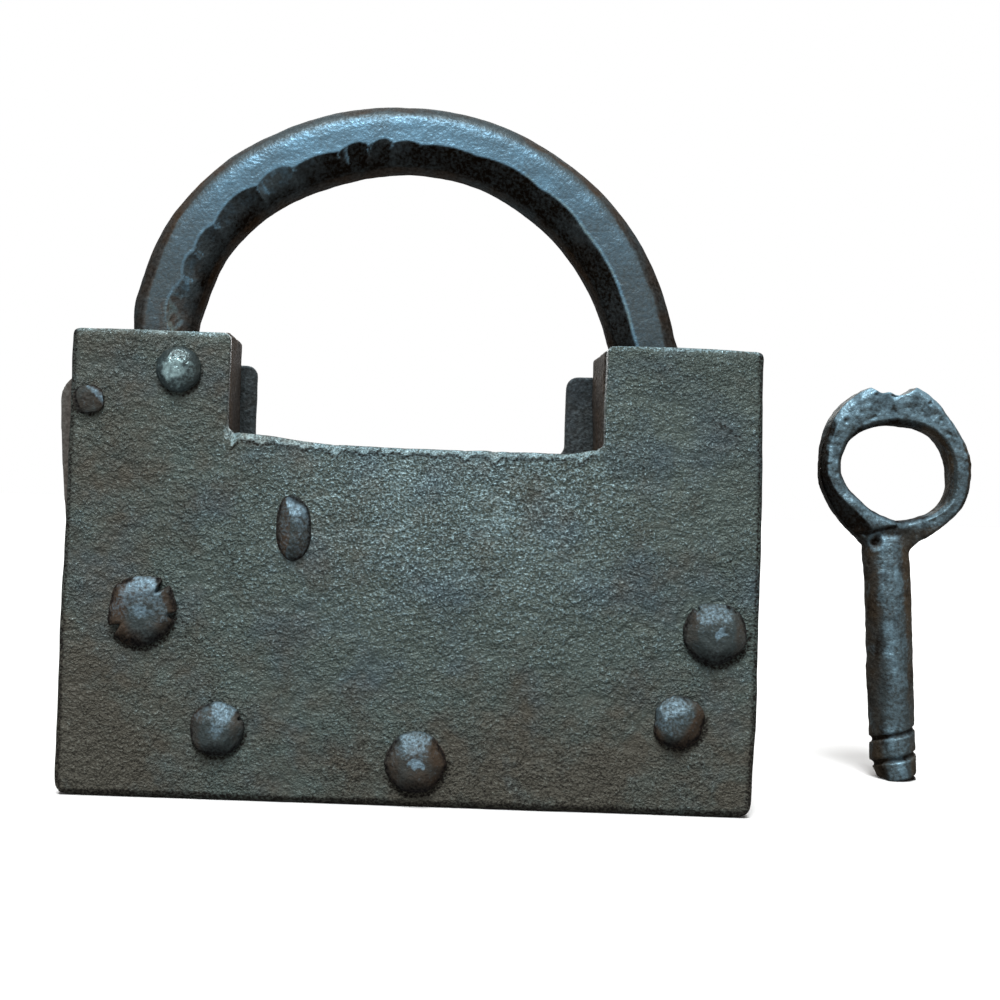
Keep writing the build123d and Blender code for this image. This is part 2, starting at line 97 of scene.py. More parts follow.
def worked_normals(piece, points):
    """The normals of a piece after its points have been worked."""
    mesh = piece.data
    mesh.vertices.foreach_set("co", (points / 1000).ravel())
    mesh.update()
    normals = np.empty(len(mesh.vertices) * 3)
    mesh.vertex_normals.foreach_get("vector", normals)
    return normals.reshape(-1, 3)


def set_in_place(piece, points, node, body, finish, **marks):
    """Gives a worked piece its points, marks and finish, and puts it in its CAD node's place."""
    mesh = piece.data
    mesh.vertices.foreach_set("co", (points / 1000).ravel())
    mesh.polygons.foreach_set("use_smooth", np.ones(len(mesh.polygons), bool))
    for mark, amount in marks.items():
        layer = mesh.attributes.new(mark, "FLOAT", "POINT")
        layer.data.foreach_set("value", np.clip(amount, 0, 1).astype(np.float32))
    mesh.update()
    mesh.materials.clear()
    mesh.materials.append(finish)
    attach(piece, body)
    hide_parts(node)


class Wire:
    """A socket in a material. Arithmetic on it adds Math nodes."""

    def __init__(self, socket):
        self.socket = socket

    def node(self, kind, settings, inputs, output=0):
        """Adds a node of one type, sets it up, then fills its sockets with values or links."""
        tree = self.socket.id_data
        made = tree.nodes.new("ShaderNode" + kind)
        for setting, value in settings.items():
            setattr(made, setting, value)
        for key, value in inputs.items():
            if isinstance(value, Wire):
                tree.links.new(value.socket, made.inputs[key])
            else:
                made.inputs[key].default_value = value
        return Wire(made.outputs[output])

    def math(self, operation, first, second=0.0):
        return self.node("Math", {"operation": operation}, {0: first, 1: second})

    def clamp(self):
        return self.node("Clamp", {}, {"Value": self})

    def between(self, low, high):
        """Colour from low to high by this value."""
        settings = {"data_type": "RGBA", "clamp_factor": True}
        return self.node("Mix", settings, {0: self, 6: low, 7: high}, 2)

    def __add__(self, other):
        return self.math("ADD", self, other)

    __radd__ = __add__

    def __sub__(self, other):
        return self.math("SUBTRACT", self, other)

    def __rsub__(self, other):
        return self.math("SUBTRACT", other, self)

    def __mul__(self, other):
        return self.math("MULTIPLY", self, other)

    __rmul__ = __mul__


def old_iron(
    name, ground, brown, bright, black, metal, gloss, grain, depth,
    rust=0.0, tops=1.6, pits=2.4, shine=0.2, stretch=1.0,
    cool=None, warm=None, patchy=0.0, edge=(1, 1, 1),
):
    """Forged iron: a patchy ground, brown where it rusts, bright where it is rubbed and where a highlight
    is painted, black in its hollows and where shade is painted. The grain and its depth are in millimetres.
    Tops and pits say how strongly the grain is rubbed and filled, and stretch how far it is drawn out from
    left to right. Cool is the ground's second colour, warm the colour of rubbed rust, and patchy says how
    much the grain comes and goes. Edge tints what glances off."""
    finish = bpy.data.materials.new(name)
    finish.use_nodes = True
    tree = finish.node_tree
    shader = tree.nodes["Principled BSDF"]
    place = Wire(tree.nodes.new("ShaderNodeTexCoord").outputs["Object"])

    drawn = place.node("VectorMath", {"operation": "MULTIPLY"}, {0: place, 1: (1 / stretch, 1, 1)})

    def lumps(size, detail=2.0, roughness=0.5):
        inputs = {"Vector": drawn, "Scale": 1000 / size, "Detail": detail, "Roughness": roughness}
        return place.node("TexNoise", {}, inputs)

    def mark(word):
        return place.node("Attribute", {"attribute_name": word}, {}, "Fac")

    cloud = lumps(26, 3)
    blotch = lumps(6, 4, 0.6)
    coarse = lumps(grain * 2.6, 2)
    fine = lumps(grain, 2, 0.55)
    strong = 1 + (lumps(8, 3, 0.6) - 0.5) * patchy
    soot = mark("soot")
    rusty = ((cloud - 0.5) * 2.6 + (blotch - 0.5) * 2.2 + mark("rust") + rust).clamp()
    wear = mark("wear")
    # Rubbed mixes real wear with painted highlights, and hollow mixes real hollows and soot with painted
    # shade.
    rubbed = (wear * (0.35 + fine * 0.9) + (fine - 0.585) * tops * strong * (1 - soot)).clamp()
    filled = (0.43 - fine) * pits * strong * (1 - (wear * 1.1).clamp())
    hollow_and_shade = (soot * (0.75 + blotch * 0.5) + filled).clamp()
    chill = ((lumps(13, 3) - 0.48) * 5).clamp()
    tint = chill.between((*ground, 1), (*(cool or ground), 1))
    tint = rusty.between(tint, (*brown, 1))
    worn = rusty.between((*bright, 1), (*(warm or bright), 1))
    tint = rubbed.between(tint, worn)
    tint = hollow_and_shade.between(tint, (*black, 1))
    height = (coarse * 1.3 + fine) * strong
    normal = place.node("Bump", {}, {"Strength": 1.0, "Distance": depth / 1000, "Height": height})
    roughness = (gloss + (0.5 - fine) * 0.4 + rusty * 0.1 + soot * 0.6).clamp()
    metallic = (metal + rubbed * 0.3 - rusty * 0.15 - hollow_and_shade * 0.5).clamp()
    shader.inputs["Specular IOR Level"].default_value = shine
    shader.inputs["Specular Tint"].default_value = (*edge, 1)
    for socket, wire in (
        ("Base Color", tint),
        ("Roughness", roughness),
        ("Metallic", metallic),
        ("Normal", normal),
    ):
        tree.links.new(wire.socket, shader.inputs[socket])
    return finish


plate_front = -12.6
plate_half_width = 69.2
plate_top = 92.4
notch_edge = 71.3
notch_half_width = 36.4
plate_finish = old_iron(
    "plate_iron",
    ground=(0.077, 0.098, 0.087),
    brown=(0.070, 0.065, 0.050),
    bright=(0.290, 0.415, 0.450),
    black=(0.009, 0.007, 0.005),
    metal=0.25,
    gloss=0.36,
    grain=0.48,
    depth=0.66,
    tops=2.9,
    pits=4.0,
    stretch=1.04,
    cool=(0.064, 0.090, 0.098),
    warm=(0.270, 0.285, 0.245),
    patchy=2.4,
)
head_places = {
    "rivet_left": (-53.3, 36.7, 6.6),
    "rivet_lower_left": (-37.1, 13.9, 5.0),
    "rivet_bottom": (2.3, 8.5, 5.8),
    "rivet_lower_right": (54.6, 18.3, 4.8),
    "rivet_right": (61.4, 36.1, 5.8),
    "hinge_pin": (-47.4, 84.7, 4.2),
    "cover_pin": (-65.2, 78.5, 2.8),
}


def shadow_round_heads(points):
    """A painted shadow on a plate, close round the lower and right side of each rivet head."""
    shadow = np.zeros(len(points))
    for x, z, radius in head_places.values():
        away = np.hypot(points[:, 0] - x, points[:, 2] - z) - 1.13 * radius
        below = ease((z - points[:, 2]) / radius + 0.4 * (points[:, 0] - x) / radius, -0.3, 0.7)
        shadow = np.maximum(shadow, 1.1 * ease(away, 0.5, 0.1) * below)
    return shadow


def hammer_plate(points, outward, seed):
    """Dents a plate's outer face and makes its outline uneven.
    Outward is -1 for the front plate and 1 for the back one."""
    across = points[:, 0].copy()
    up = points[:, 2].copy()
    face = ease(points[:, 1] * outward, 11.2, 12.4)
    points[:, 0] += 0.22 * field(points, 17, seed) + 0.10 * field(points, 5, seed + 1)
    lift = 0.20 * field(points, 15, seed + 2) + 0.10 * field(points, 5, seed + 3)
    points[:, 2] += np.where(up < 6, np.abs(lift), lift)
    dents = 0.17 * field(points, 24, seed + 4) + 0.09 * field(points, 9, seed + 5)
    for x, z, radius in head_places.values():
        dents *= ease(np.hypot(across - x, up - z), radius * 0.9, radius + 4)
    dents += 0.06 * field(points, 3.4, seed + 6) + 0.05 * field(points, 1.7, seed + 7)
    holes = np.maximum(field(points, 2.6, seed + 8) - 0.5, 0) * 0.5
    points[:, 1] += outward * face * (dents - holes)
    beside_notch = np.abs(across) > 38
    to_top = np.where(beside_notch, plate_top - up, plate_top)
    to_edge = np.minimum(np.minimum(plate_half_width - np.abs(across), up), to_top)
    worn_width = 1.6
    points[:, 1] -= outward * face * 0.7 * np.clip(1 - to_edge / worn_width, 0, 1) ** 2
    spread = ease(up, 80, 0)
    points[:, 0] += np.where(across < 0, -0.3, 0.3) * spread * ease(np.abs(across), 50, 69)
    corner_middle, corner_radius = 66.2, 3.0
    for side in (-1, 1):
        out = np.hypot(across * side - corner_middle, up - corner_radius) - corner_radius
        in_corner = (across * side > corner_middle) & (up < corner_radius)
        past = np.where(in_corner, np.maximum(out, 0), 0)
        points[:, 0] -= side * past * 0.75
        points[:, 2] += past * 0.75
    return across, up


front, points, _ = even_mesh("front_plate", "forged_front_plate", 0.42)
across, up = hammer_plate(points, -1, 11)
in_notch = np.abs(across) < notch_half_width
corner_rise = 1.7 * ease(across, -14, -36) * ease(up, 60, 71) * ease(across, -39.5, -36.5) * (up < 75)
corner_rise += 0.9 * ease(across, 30, 36) * ease(up, 64, 71) * ease(across, 39.5, 36.8) * (up < 75)
points[:, 2] += corner_rise + 0.4 * ease(up, 80, 92)
right_shift = 0.45 * ease(up, 6, 20) * ease(up, 80, 60) - 0.35 * ease(up, 78, 90)
points[:, 0] += right_shift * ease(across, 60, 69)
points[:, 0] += (0.1 * ease(up, 80, 92) + 0.35 * ease(up, 30, 55)) * ease(across, -62, -69)
points[:, 2] -= 0.3 * ease(up, 66, 71) * ease(across, -20, 0) * in_notch

# The notch's lip is cut back by an uneven bevel, which is worn bright with a painted highlight above a
# painted shadow line.
edge_run = points * [1, 0, 0]
nick = 1.2 + 2.1 * np.maximum(field(edge_run, 2.9, 31), 0) + 0.5 * field(edge_run, 1.3, 32)
reach = (points[:, 2] - notch_edge - corner_rise) + (plate_front - points[:, 1]) + np.maximum(nick, 0.3)
reach = np.where(in_notch & (up > 66), reach, -9)
over = np.maximum(reach, 0)
points[:, 2] -= over / 2
points[:, 1] += over / 2
notch_rim = ease(over, 0.05, 0.30)
rim_shade = ease(reach, -1.0, -0.4) * ease(reach, 0.10, -0.10)
torn = 0.8 * ease(up, 69.6, 70.6) * ease(across, -29, -34) * ease(across, -38.5, -37) * (up < 73)
# Painted highlight along the top edge of the shoulders, and a broad painted sheen over the upper middle of
# the plate.
shoulder_rim = ease(up, 91.2, 92.1)
sheen = 0.54 * ease(up, 22, 64) * ease(up, 96, 66) * ease(np.abs(across - 8), 58, 8)
speck = 0.28 * ease(np.hypot(across + 55.7, (up - 56.5) * 1.4), 1.9, 0.6)
rust_spots = 1.2 * ease(np.hypot(across - 45.9, (up - 13.4) * 0.7), 2.6, 0.8)
rust_spots += 0.8 * ease(np.hypot(across - 64.5, up - 4.5), 3.5, 1.0)
scratch_x, scratch_z = 58.8, 78.7
scratch_right, scratch_down = 6.0, 3.3
along = (across - scratch_x) * scratch_right - (up - scratch_z) * scratch_down
share = np.clip(along / (scratch_right**2 + scratch_down**2), 0, 1)
off_line = np.hypot(across - scratch_x - scratch_right * share, up - scratch_z + scratch_down * share)
scratch = ease(off_line, 0.55, 0.15)
set_in_place(
    front,
    points,
    "front_plate",
    "case",
    plate_finish,
    wear=notch_rim * 1.4 + torn + shoulder_rim * 0.85 + sheen * (1 - notch_rim) + speck,
    # Painted shadow round the heads and under the notch lip, painted shade along the right, left and bottom
    # edges, darker towards the bottom, and a dark scratch.
    soot=shadow_round_heads(points)
    + ease(across + 0.25 * field(points, 4, 33), 67.5, 68.4) * 0.95
    + ease(across, -67.6, -68.4) * 0.9
    + ease(up + 0.35 * field(points, 4, 34), 1.5, 0.9) * 0.95
    + 0.22 * ease(up, 30, 2)
    + 0.95 * rim_shade
    + 0.8 * scratch,
    rust=0.7 * ease(up, 42, 4) + 0.5 * ease(across, -46, -66) + rust_spots,
)


# BACK PLATE
# A second hammered sheet, with lower shoulders and a narrower notch than the front one.
# It carries the tails of all the rivets, and of the guide and the stop inside.

back_finish = old_iron(
    "back_plate_iron",
    ground=(0.062, 0.075, 0.079),
    brown=(0.062, 0.056, 0.046),
    bright=(0.200, 0.270, 0.300),
    black=(0.012, 0.012, 0.011),
    metal=0.25,
    gloss=0.42,
    grain=0.7,
    depth=0.30,
    tops=1.4,
    pits=2.4,
    cool=(0.058, 0.074, 0.086),
    patchy=2.0,
)
back, points, _ = even_mesh("back_plate", "forged_back_plate", 0.5)
across, up = hammer_plate(points, 1, 51)
rims = ease(up, 70.2, 71.1) * (np.abs(across) < 34) * ease(up, 72.2, 71.4) + ease(up, 87.2, 88.2)
set_in_place(
    back,
    points,
    "back_plate",
    "case",
    back_finish,
    # The top edges are worn and carry a painted highlight.
    wear=rims * 0.5,
    # Painted shadow below the tails, and painted shade on the plate's inner face.
    soot=shadow_round_heads(points) * 0.3 * (points[:, 1] > 12.0) + 0.45 * ease(points[:, 1], 12.0, 11.0),
    rust=0.35 * ease(up, 40, 4) + 0.6 * ease(field(points, 14, 59), 0.0, 0.6),
)


# RIM STRIPS
# Six strips of iron stand between the plates: bottom, left with the keyhole, right bent over its
# shoulder, and three round the notch. They are forged from bar, and rusted brown.

rim_finish = old_iron(
    "rim_iron",
    ground=(0.080, 0.070, 0.062),
    brown=(0.104, 0.070, 0.047),
    bright=(0.260, 0.240, 0.220),
    black=(0.006, 0.005, 0.004),
    metal=0.05,
    gloss=0.75,
    grain=0.9,
    depth=0.50,
    rust=0.1,
    tops=1.8,
    pits=3.2,
    shine=0.05,
    edge=(0.5, 0.45, 0.4),
)
rim_nodes = (
    "bottom_wall",
    "left_wall",
    "right_wall",
    "notch_floor",
    "notch_left_wall",
    "notch_right_wall",
)
for seed, node in enumerate(rim_nodes):
    strip, points, normals = even_mesh(node, "forged_" + node, 0.45, 1)
    dents = 0.10 * field(points, 7, 71 + seed) + 0.06 * field(points, 2.6, 81 + seed)
    kept = ease(np.abs(points[:, 1]), 10.0, 9.2) * ease(points[:, 2], 0, 0.4)
    points += normals * (dents * kept)[:, None]
    if node == "notch_left_wall":
        points[:, 2] += 1.0 * ease(points[:, 2], 84, 88)
    if node == "notch_right_wall":
        points[:, 0] -= 0.45 * ease(points[:, 2], 74, 86)
    by_plates = ease(np.abs(points[:, 1]), 8.6, 10.0)
    set_in_place(strip, points, node, "case", rim_finish, soot=by_plates * 0.6)


# RIVETS
# Five pillars hold the plates apart, with ends that were hammered over into heads.
# No two heads are alike: the hammer left flats on them, and some split at the rim.

rivet_finish = old_iron(
    "rivet_iron",
    ground=(0.047, 0.058, 0.057),
    brown=(0.054, 0.038, 0.026),
    bright=(0.205, 0.305, 0.370),
    black=(0.005, 0.004, 0.004),
    metal=0.30,
    gloss=0.58,
    grain=0.6,
    depth=0.24,
    tops=1.0,
    pits=2.0,
    shine=0.12,
)


def hammer_head(
    points, x, z, radius, height, cuts, seed,
    crown=1.0, lobes=0.06, splits=(), size=1.0, shift=(0, 0), soft=0.35,
):
    """Works the front head of a rivet: flats from blows, a flattened crown, an uneven rim and splits.
    A cut is the flat's turn about the head from the right, its tilt from the front, and its reach.
    A split is its turn, its half width in degrees, and its depth as a share of the radius."""
    head = points[:, 1] < plate_front + 0.05
    local = points[head] - [x, plate_front, z]
    out = np.clip(np.hypot(local[:, 0], local[:, 2]) / radius, 0, 1)
    local[:, 1] = np.where(local[:, 1] < -0.1, -height * (1 - out**3.2) ** 0.5, local[:, 1])
    for turn, tilt, reach in cuts:
        turn = math.radians(turn)
        sideways = math.sin(math.radians(tilt))
        forward = math.cos(math.radians(tilt))
        facing = np.array([math.cos(turn) * sideways, -forward, math.sin(turn) * sideways])
        limit = math.hypot(radius * sideways, height * forward) * reach
        over = local @ facing - limit
        local -= np.outer((over + np.sqrt(over**2 + soft**2)) * 0.45, facing)
    over = -local[:, 1] - height * crown + 0.12 * field(local, 1.6, seed)
    local[:, 1] += (over + np.sqrt(over**2 + soft**2)) * 0.5 * ease(local[:, 1], -0.2, -0.8)
    angle = np.arctan2(local[:, 2], local[:, 0])
    ring = np.stack([np.cos(angle), np.sin(angle), np.zeros(len(angle))], 1) * radius
    scale = size + lobes * field(ring, radius * 0.9, seed + 1) + 0.02 * field(ring, radius * 0.25, seed + 3)
    out = np.hypot(local[:, 0], local[:, 2]) / radius
    cracks = np.zeros(len(local))
    for where, width, deep in splits:
        apart = np.abs((angle - math.radians(where) + math.pi) % (2 * math.pi) - math.pi)
        gap = np.maximum(1 - apart / math.radians(width), 0) * ease(out, 1 - 1.6 * deep, 1.0)
        scale *= 1 - deep * gap
        local[:, 1] += gap * height * 0.5
        cracks = np.maximum(cracks, gap)
    local[:, 0] *= scale
    local[:, 2] *= scale
    local[:, 1] += np.where(local[:, 1] < -0.3, 0.06 * field(local, 1.1, seed + 2), 0)
    points[head] = local + [x + shift[0], plate_front, z + shift[1]]
    rise = np.zeros(len(points))
    rise[head] = np.clip(-local[:, 1] / height, 0, 1)
    crack = np.zeros(len(points))
    crack[head] = cracks
    return rise, crack


def hammer_tail(points, seed):
    """Works the end of a pin behind the back plate to a low dome with an uneven rim and small dents."""
    tail = points[:, 1] > 0.05 - plate_front
    end = points[tail]
    middle = (end.min(0) + end.max(0)) / 2 * [1, 0, 1]
    local = end - middle
    out = np.hypot(local[:, 0], local[:, 2])
    dome = 1 - (out / out.max()) ** 2
    local[:, 1] += 0.5 * dome + 0.12 * field(end, 2.2, seed) * ease(dome, 0.1, 0.4)
    local *= 1 + 0.08 * np.outer(field(end * [1, 0, 1], 2.6, seed + 1), [1, 0, 1])
    points[tail] = local + middle


rivet_work = {
    "rivet_left": {
        "height": 3.0,
        "crown": 0.66,
        "lobes": 0.09,
        "size": 1.13,
        "shift": (0.2, 0.4),
        "cuts": (
            (94, 32, 0.80),
            (94, 84, 0.90),
            (176, 52, 0.80),
            (250, 40, 0.90),
            (320, 46, 0.88),
            (20, 42, 0.90),
        ),
        "splits": ((50, 7, 0.34), (-8, 8, 0.22), (216, 9, 0.30), (128, 4, 0.08)),
    },
    "rivet_lower_left": {
        "height": 3.1,
        "crown": 0.95,
        "lobes": 0.03,
        "size": 1.13,
        "shift": (-0.15, 0.15),
        "cuts": ((66, 34, 0.84), (186, 46, 0.88), (268, 48, 0.90), (128, 46, 0.90), (330, 44, 0.90)),
        "splits": ((26, 6, 0.14),),
    },
    "rivet_bottom": {
        "height": 3.3,
        "crown": 0.95,
        "lobes": 0.04,
        "size": 1.11,
        "shift": (0.0, 0.4),
        "cuts": (
            (92, 36, 0.82),
            (28, 48, 0.86),
            (152, 48, 0.84),
            (206, 46, 0.88),
            (332, 46, 0.88),
            (270, 44, 0.92),
        ),
        "splits": ((38, 5, 0.06), (143, 5, 0.06)),
    },
    "rivet_lower_right": {
        "height": 2.9,
        "crown": 0.92,
        "lobes": 0.05,
        "size": 1.17,
        "shift": (-0.35, 0.25),
        "cuts": ((112, 40, 0.80), (178, 62, 0.82), (250, 52, 0.88), (345, 50, 0.82), (312, 40, 0.84)),
        "splits": (),
    },
    "rivet_right": {
        "height": 3.4,
        "crown": 0.94,
        "lobes": 0.03,
        "size": 1.14,
        "shift": (-0.6, 0.4),
        "cuts": (
            (92, 40, 0.78),
            (92, 86, 0.90),
            (20, 52, 0.90),
            (166, 52, 0.90),
            (232, 46, 0.92),
            (302, 46, 0.90),
        ),
        "splits": ((128, 5, 0.16), (48, 4, 0.12)),
    },
}

# The painted highlight on each head: the side that it starts from, its half widths at the rim and in the
# middle as shares of the radius, how strong it is in the middle and at the rim, and how strong the pale
# fleck in the middle is. Two heads are also brown on one side.
rivet_highlights = {
    "rivet_left": (84, 0.26, 0.85, 0.30, 0.60, 0.5),
    "rivet_lower_left": (70, 0.46, 0.18, 0.45, 0.60, 0.3),
    "rivet_bottom": (91, 0.56, 0.30, 0.20, 0.28, 1.3),
    "rivet_lower_right": (140, 0.70, 0.66, 0.26, 0.30, 0.0),
    "rivet_right": (98, 0.40, 0.56, 0.06, 0.22, 1.3),
}
brown_sides = {"rivet_left": 186, "rivet_lower_right": -32}
for seed, (node, work) in enumerate(rivet_work.items()):
    rivet, points, _ = even_mesh(node, "hammered_" + node, 0.24, 1)
    x, z, radius = head_places[node]
    rise, crack = hammer_head(points, x, z, radius, seed=100 + 10 * seed, **work)
    hammer_tail(points, 105 + 10 * seed)
    side, rim, core, weak, strong, fleck = rivet_highlights[node]
    east = (points[:, 0] - x - work["shift"][0]) / radius
    north = (points[:, 2] - z - work["shift"][1]) / radius
    turn = math.radians(side)
    along = east * math.cos(turn) + north * math.sin(turn)
    beside = np.abs(north * math.cos(turn) - east * math.sin(turn))
    beside += 0.08 * field(points, 1.6, 106 + seed)
    width = core + (rim - core) * np.clip(along, 0, 1)
    # The fan is a painted highlight on the side of each head towards the light.
    fan = ease(beside, width + 0.16, width - 0.06) * ease(along, -0.25 - 0.6 * weak, 0.1)
    fan = fan * (points[:, 1] < plate_front)
    off_middle = np.hypot(east - 0.03, north * 1.25) + 0.22 * field(points, 1.1, 107 + seed)
    spot = ease(off_middle, 0.26, 0.12) * (rise > 0.6)
    # Painted shade at the rim of each head and over its lower half.
    head_rim_shade = ease(rise, 0.55, 0.15) * ease(fan, 0.6, 0.2) * (rise > 0.005)
    lower = ease(0.85 * north + 0.2 * np.abs(east - 0.1), -0.2, -0.7)
    rusted = (1 - fan) * (0.1 + 0.6 * ease(np.abs(east), 0.4, 0.75))
    if node in brown_sides:
        brown_turn = math.radians(brown_sides[node])
        rusted += ease(east * math.cos(brown_turn) + north * math.sin(brown_turn), 0.2, 0.6)
    facing = worked_normals(rivet, points)
    # A painted glint on the facets that face the light.
    caught = 0.20 * ease(facing @ np.array([-0.25, -0.80, 0.54]), 0.86, 0.98) * (rise > 0.3)
    set_in_place(
        rivet,
        points,
        node,
        "case",
        rivet_finish,
        wear=fan * (weak + (strong - weak) * ease(along, 0.1, 0.75)) + fleck * spot + caught,
        soot=head_rim_shade + crack + 0.72 * lower * (rise > 0.01),
        rust=rusted,
    )


# HINGE PIN AND COVER PIN
# The hinge pin that the shackle turns on has a round crown, polished by handling.
# The small pin of the keyhole cover was hammered almost square.

polished_finish = old_iron(
    "polished_iron",
    ground=(0.045, 0.062, 0.065),
    brown=(0.046, 0.054, 0.050),
    bright=(0.390, 0.550, 0.560),
    black=(0.008, 0.008, 0.007),
    metal=0.50,
    gloss=0.32,
    grain=0.7,
    depth=0.22,
    tops=1.0,
    pits=1.4,
    shine=0.12,
)
hinge, points, _ = even_mesh("hinge_pin", "hammered_hinge_pin", 0.2, 1)
x, z, radius = head_places["hinge_pin"]
blows = ((80, 40, 0.92), (150, 48, 0.92), (215, 52, 0.92), (20, 46, 0.93), (300, 50, 0.93))
rise, _ = hammer_head(
    points, x, z, radius, 2.6, blows, 171,
    crown=0.98, lobes=0.03, size=1.13, shift=(0.1, 0.4), soft=0.5,
)
hammer_tail(points, 175)
off_middle = np.hypot(points[:, 0] - x + 0.8, points[:, 2] - z - 0.6) + 0.9 * field(points, 1.4, 172)
# Painted shadow on the lower right of the head, near its rim.
lower_right = ease(points[:, 2] - z - 0.5 * (points[:, 0] - x), 3.0, 0.5)
set_in_place(
    hinge,
    points,
    "hinge_pin",
    "case",
    polished_finish,
    wear=ease(rise, 0.3, 0.8) * (0.22 + 0.9 * ease(off_middle, 2.8, 1.4)),
    soot=ease(rise, 0.35, 0.1) * (rise > 0.005) * lower_right * 0.9,
)
cover_end, points, _ = even_mesh("cover_pin", "hammered_cover_pin", 0.16, 1)
x, z, radius = head_places["cover_pin"]
blows = ((60, 35, 0.9), (200, 40, 0.9))
rise, _ = hammer_head(points, x, z, radius, 1.3, blows, 181, crown=0.9, lobes=0.05, size=1.14)
for turn in (8, 100, 187, 278):
    facing = np.array([math.cos(math.radians(turn)), 0, math.sin(math.radians(turn))])
    past = np.where(rise > 0, np.maximum((points - [x, 0, z]) @ facing - radius * 0.94, 0), 0)
    points -= np.outer(past, facing)
hammer_tail(points, 185)
head = points[:, 1] < plate_front - 0.02
points[:, 0] += 0.55 * head
points[:, 2] += 0.15 * head
# A painted highlight along the head's upper right edge, and painted shade round its rim.
upper_right = ease(points[:, 0] - x + points[:, 2] - z, 2.0, 3.2)
set_in_place(
    cover_end,
    points,
    "cover_pin",
    "case",
    rivet_finish,
    wear=ease(rise, 0.3, 0.7) * upper_right * 0.9,
    soot=ease(rise, 0.6, 0.2) * (rise > 0.005) * 0.95 + 0.2 * (rise > 0.6),
    rust=np.full(len(points), 0.5),
)


# BRIDGE
# A bar across the case that the bolt's socket slides in.
# Its flat tenon comes through the front plate, and is hammered over to a long ridged head.

tenon_x, tenon_z, tenon_lift = -23.7, 54.4, 0.2
bridge, points, _ = even_mesh("bridge", "hammered_bridge", 0.24, 1)
head = points[:, 1] < plate_front - 0.02
local = points[head] - [tenon_x, plate_front, tenon_z]

# Four blows left flats that meet in a ridge, each given by its direction and its reach.
for facing, reach in (
    ((-0.66, -0.75, 0.05), 2.00),
    ((0.20, -0.86, 0.46), 3.05),
    ((0.12, -0.84, -0.52), 3.45),
    ((0.66, -0.75, 0.02), 2.50),
):
    facing = np.array(facing) / np.linalg.norm(facing)
    over = local @ facing - reach
    local -= np.outer((over + np.sqrt(over**2 + 0.05)) * 0.46, facing)
local[:, 0] *= 1.09 - 0.36 * ease(local[:, 2], -1.0, -7.0) - 0.30 * ease(local[:, 2], 1.5, 6.5)
local[:, 2] *= np.where(local[:, 2] < 0, 1.08, 1.0)
local[:, 0] += 0.1 - 0.05 * local[:, 2]
local[:, 1] += np.where(local[:, 1] < -0.3, 0.12 * field(local * [0.35, 1, 1.5], 1.2, 191), 0)
points[head] = local + [tenon_x, plate_front, tenon_z + tenon_lift]
hammer_tail(points, 195)
rise = np.clip((plate_front - points[:, 1]) / 2.4, 0, 1)
facing = worked_normals(bridge, points)
# A painted highlight on the flats that face the light, over a little wear, and painted shade round the
# head's rim.
upward = facing @ np.array([0.38, -0.66, 0.65])
highlight_and_rubbing = ease(upward, 0.70, 0.90) * ease(points[:, 2], 52, 57)
set_in_place(
    bridge,
    points,
    "bridge",
    "case",
    rivet_finish,
    wear=ease(rise, 0.1, 0.4) * (0.18 + 0.62 * highlight_and_rubbing),
    soot=ease(rise, 0.5, 0.15) * (points[:, 1] < plate_front - 0.05) * 0.9,
    rust=ease(facing[:, 0], -0.2, -0.5) * 0.9 * (rise > 0),
)


# SHACKLE
# A square bar, bent hot to an arch, with its inner edges beaten to a wide bevel by separate blows.
# The blows left a row of scallops, and the front facet is rubbed to a blue-grey shine, partly a highlight
# painted towards the crown.

shackle_finish = old_iron(
    "shackle_iron",
    ground=(0.074, 0.092, 0.098),
    brown=(0.078, 0.046, 0.026),
    bright=(0.165, 0.310, 0.420),
    black=(0.0055, 0.0035, 0.0020),
    metal=0.40,
    gloss=0.48,
    grain=0.65,
    depth=0.16,
    rust=-0.6,
    tops=0.4,
    pits=1.0,
    warm=(0.250, 0.350, 0.320),
    patchy=1.2,
    shine=0.05,
    edge=(0.42, 0.36, 0.30),
)
arch_x, arch_z, arch_radius = -2.6, 84.7, 50.1
leg_x, bend_radius, bend_z = -52.3, 30.0, 88.69
shackle, points, normals = even_mesh("shackle", "forged_shackle", 0.3)
centre_line = []
for step in np.linspace(0, 1, 40):
    centre_line.append((leg_x, arch_z + step * (bend_z - arch_z)))
bend_turn = math.atan2(bend_z - arch_z, leg_x + bend_radius - arch_x)
for step in np.linspace(math.pi, bend_turn, 120):
    centre_line.append((leg_x + bend_radius * (1 + math.cos(step)), bend_z + bend_radius * math.sin(step)))
for step in np.linspace(bend_turn, 0, 400):
    centre_line.append((arch_x + arch_radius * math.cos(step), arch_z + arch_radius * math.sin(step)))
centre_line = np.array(centre_line)
tangent = np.gradient(centre_line, axis=0)
tangent /= np.linalg.norm(tangent, axis=1)[:, None]
inward_line = np.stack([tangent[:, 1], -tangent[:, 0]], 1)
run_line = np.concatenate([[0], np.cumsum(np.linalg.norm(np.diff(centre_line, axis=0), axis=1))])
flat = points[:, [0, 2]]
nearest = np.empty(len(points), int)
batch = 20000
for start in range(0, len(points), batch):
    part = flat[start : start + batch]
    apart = ((part[:, None, :] - centre_line[None, :, :]) ** 2).sum(2)
    nearest[start : start + batch] = apart.argmin(1)
run = run_line[nearest]
inward = inward_line[nearest]
inner = ((flat - centre_line[nearest]) * inward).sum(1)
fore = -points[:, 1]
bar = ease(points[:, 2], 86, 90)

